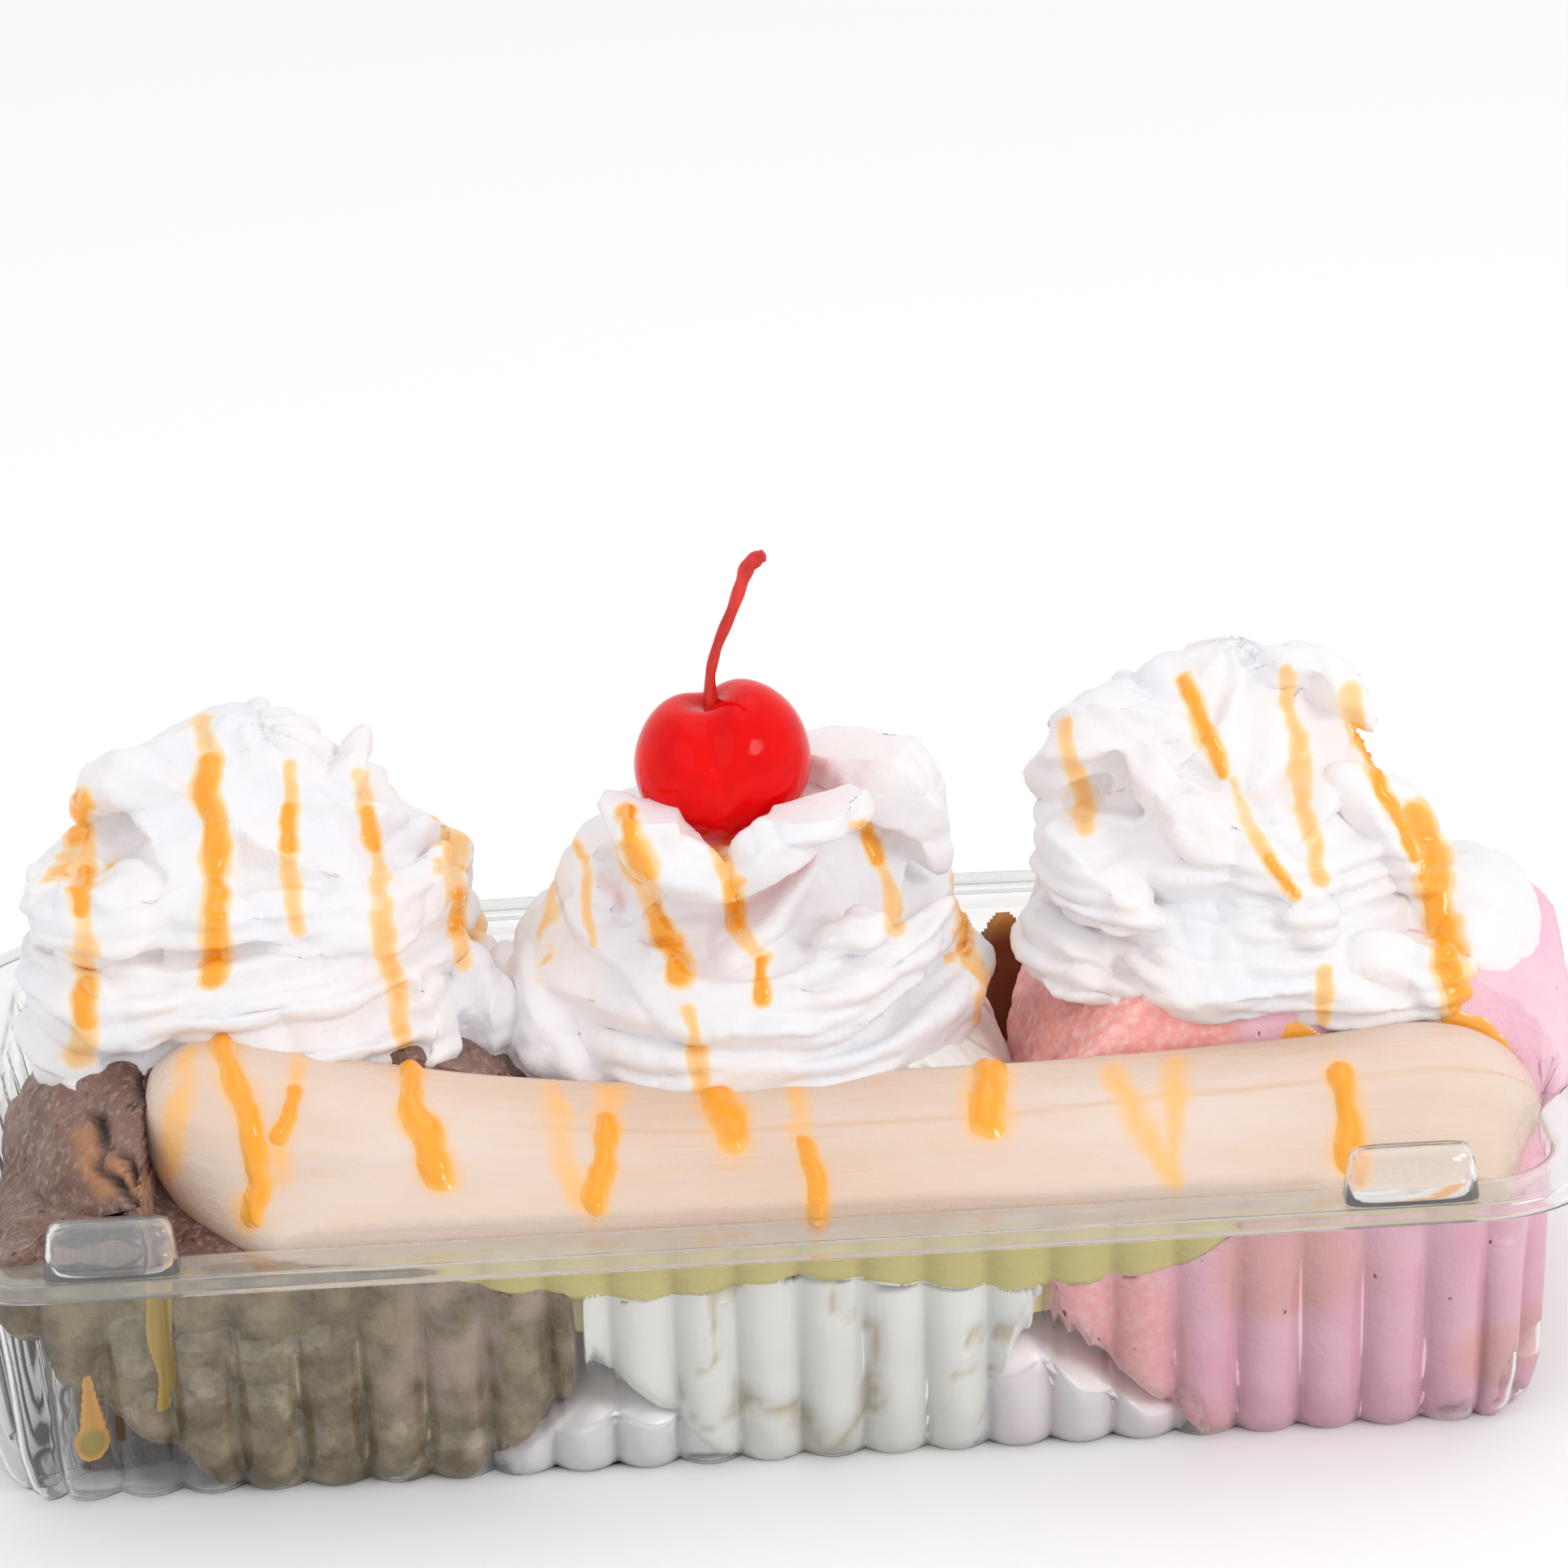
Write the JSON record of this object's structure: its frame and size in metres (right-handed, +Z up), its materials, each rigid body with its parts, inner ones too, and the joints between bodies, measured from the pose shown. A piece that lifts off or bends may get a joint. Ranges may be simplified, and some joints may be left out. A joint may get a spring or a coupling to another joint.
{
  "type": "banana split",
  "caption": "Banana split in a clear fluted takeaway tray: scoops of ice cream, half a banana along the front, piped cream swirls and a cherry.",
  "frame": {"origin": "centre of the whole object's box in plan, on the surface that the tray stands on", "axes": "+X along the tray to the right seen from the front, +Y from the banana's front wall to the rear, +Z up"},
  "size_m": [0.207, 0.1079, 0.1082],
  "materials": {
    "clear_pet": "clear thin vacuum-formed PET sheet, glossy",
    "chocolate_ice_cream": "grainy chocolate ice cream, matt with a wet gloss where it melts",
    "vanilla_ice_cream": "smooth vanilla ice cream, softly wet",
    "strawberry_ice_cream": "strawberry ice cream, grainy above and smooth where it melts",
    "banana_flesh": "peeled banana flesh, moist and faintly fibrous",
    "whipped_cream": "piped whipped cream, soft matt white",
    "maraschino_cherry": "wet glossy maraschino cherry skin",
    "cherry_stem": "thin red-dyed cherry stalk",
    "caramel_sauce": "glossy caramel sauce, translucent where it is thin"
  },
  "bodies": {
    "root": {"tray": "clear_pet", "banana_half": "banana_flesh", "cherry": "maraschino_cherry", "cherry_stem": "cherry_stem", "cream_left": "whipped_cream", "cream_middle": "whipped_cream", "cream_right": "whipped_cream", "chocolate_scoop": "chocolate_ice_cream", "strawberry_scoop": "strawberry_ice_cream", "vanilla_scoop": "vanilla_ice_cream"}
  },
  "joints": []
}
